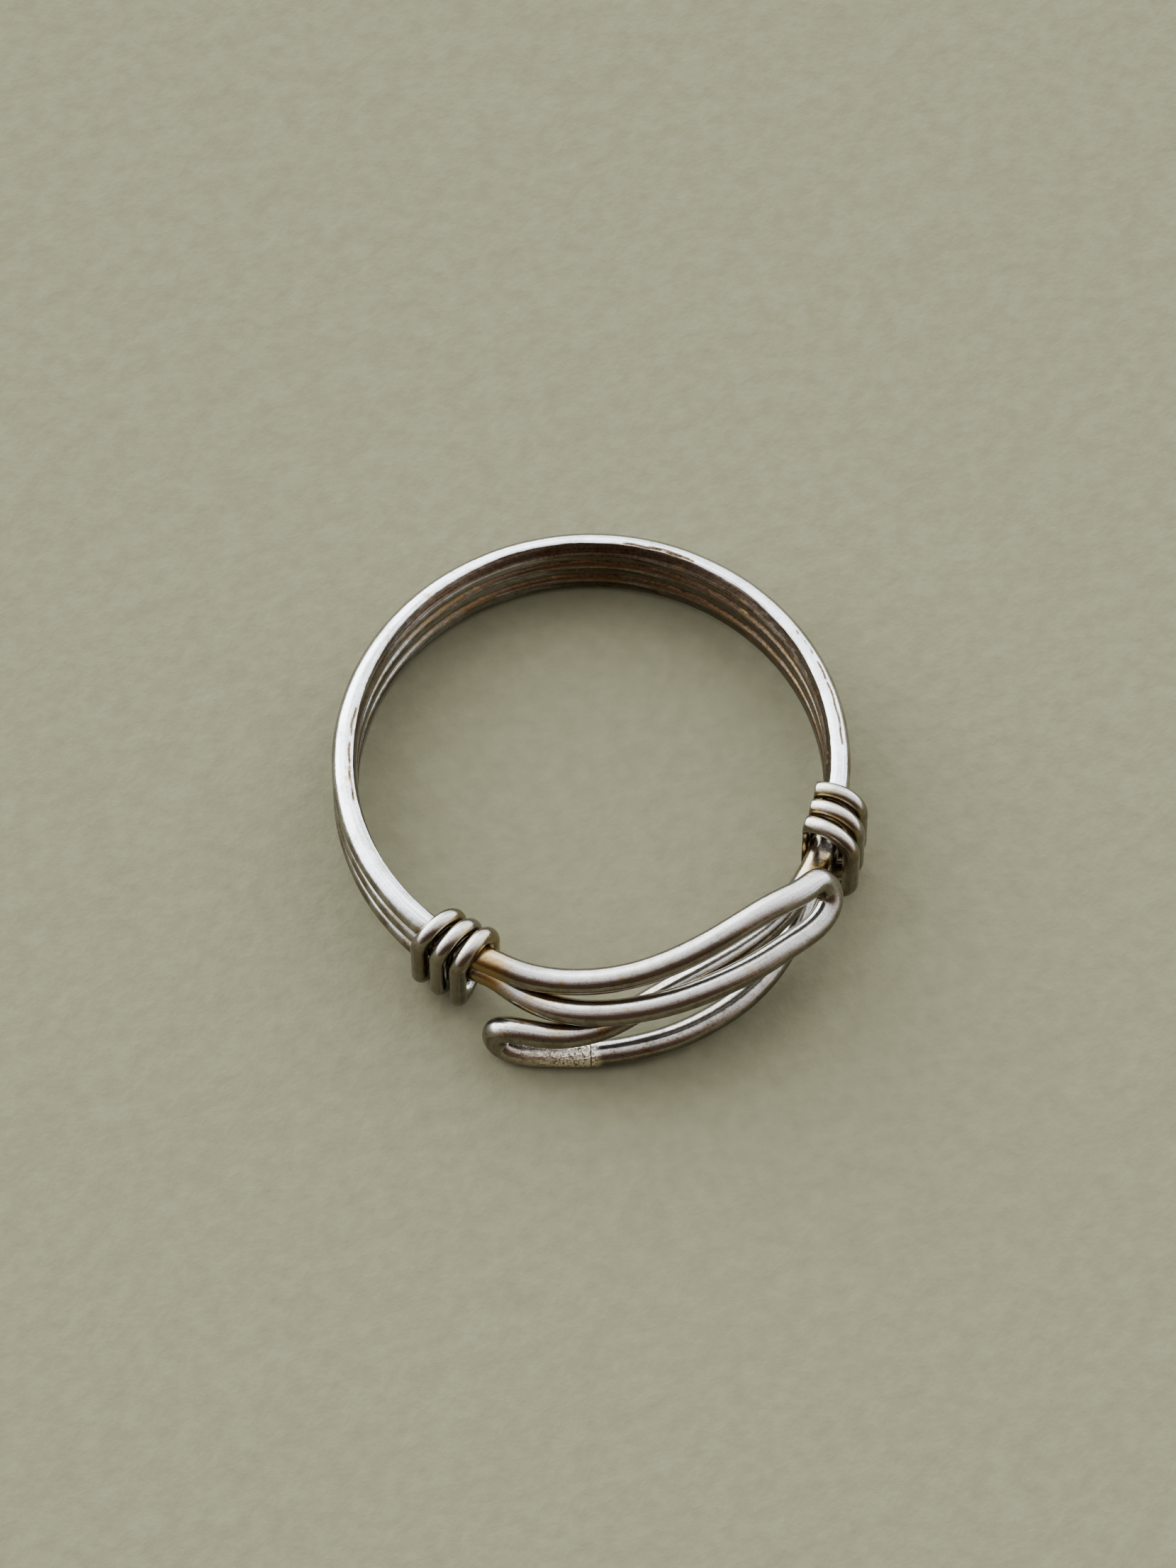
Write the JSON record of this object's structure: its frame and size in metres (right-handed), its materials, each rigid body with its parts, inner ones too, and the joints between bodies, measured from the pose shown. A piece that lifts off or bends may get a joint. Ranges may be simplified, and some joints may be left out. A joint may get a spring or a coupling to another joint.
{
  "type": "wire-wrapped finger ring",
  "caption": "Silver wire finger ring: a shank of stacked round wires, wrapped with thin wire at both sides, and overlapping hairpin loops across the front.",
  "frame": {"origin": "middle of the finger opening, on its axis, at the height of the middle shank wire", "axes": "+Z along the finger axis, -Y towards the decorated front"},
  "size_m": [0.0192, 0.0205, 0.0055],
  "materials": {
    "worn_silver": "sterling silver, filed inside, tarnished brown",
    "bright_silver": "sterling silver, polished, with warm tarnish in the recesses"
  },
  "bodies": {
    "ring": {"shank_wire_top": "worn_silver", "shank_wire_middle": "worn_silver", "shank_wire_bottom": "worn_silver", "upper_loop": "bright_silver", "lower_loop_leg": "bright_silver", "lower_loop_hairpin": "bright_silver"},
    "left_wrap": {"left_binding": "bright_silver"},
    "right_wrap": {"right_binding": "bright_silver"}
  },
  "joints": [
    {"name": "left_binding_slide", "type": "hinge", "parent": "ring", "child": "left_wrap", "pos_m": [0, 0, 0], "axis": [0, 0, 1], "range_deg": [-5, 0]},
    {"name": "right_binding_slide", "type": "hinge", "parent": "ring", "child": "right_wrap", "pos_m": [0, 0, 0], "axis": [0, 0, 1], "range_deg": [0, 5]}
  ]
}
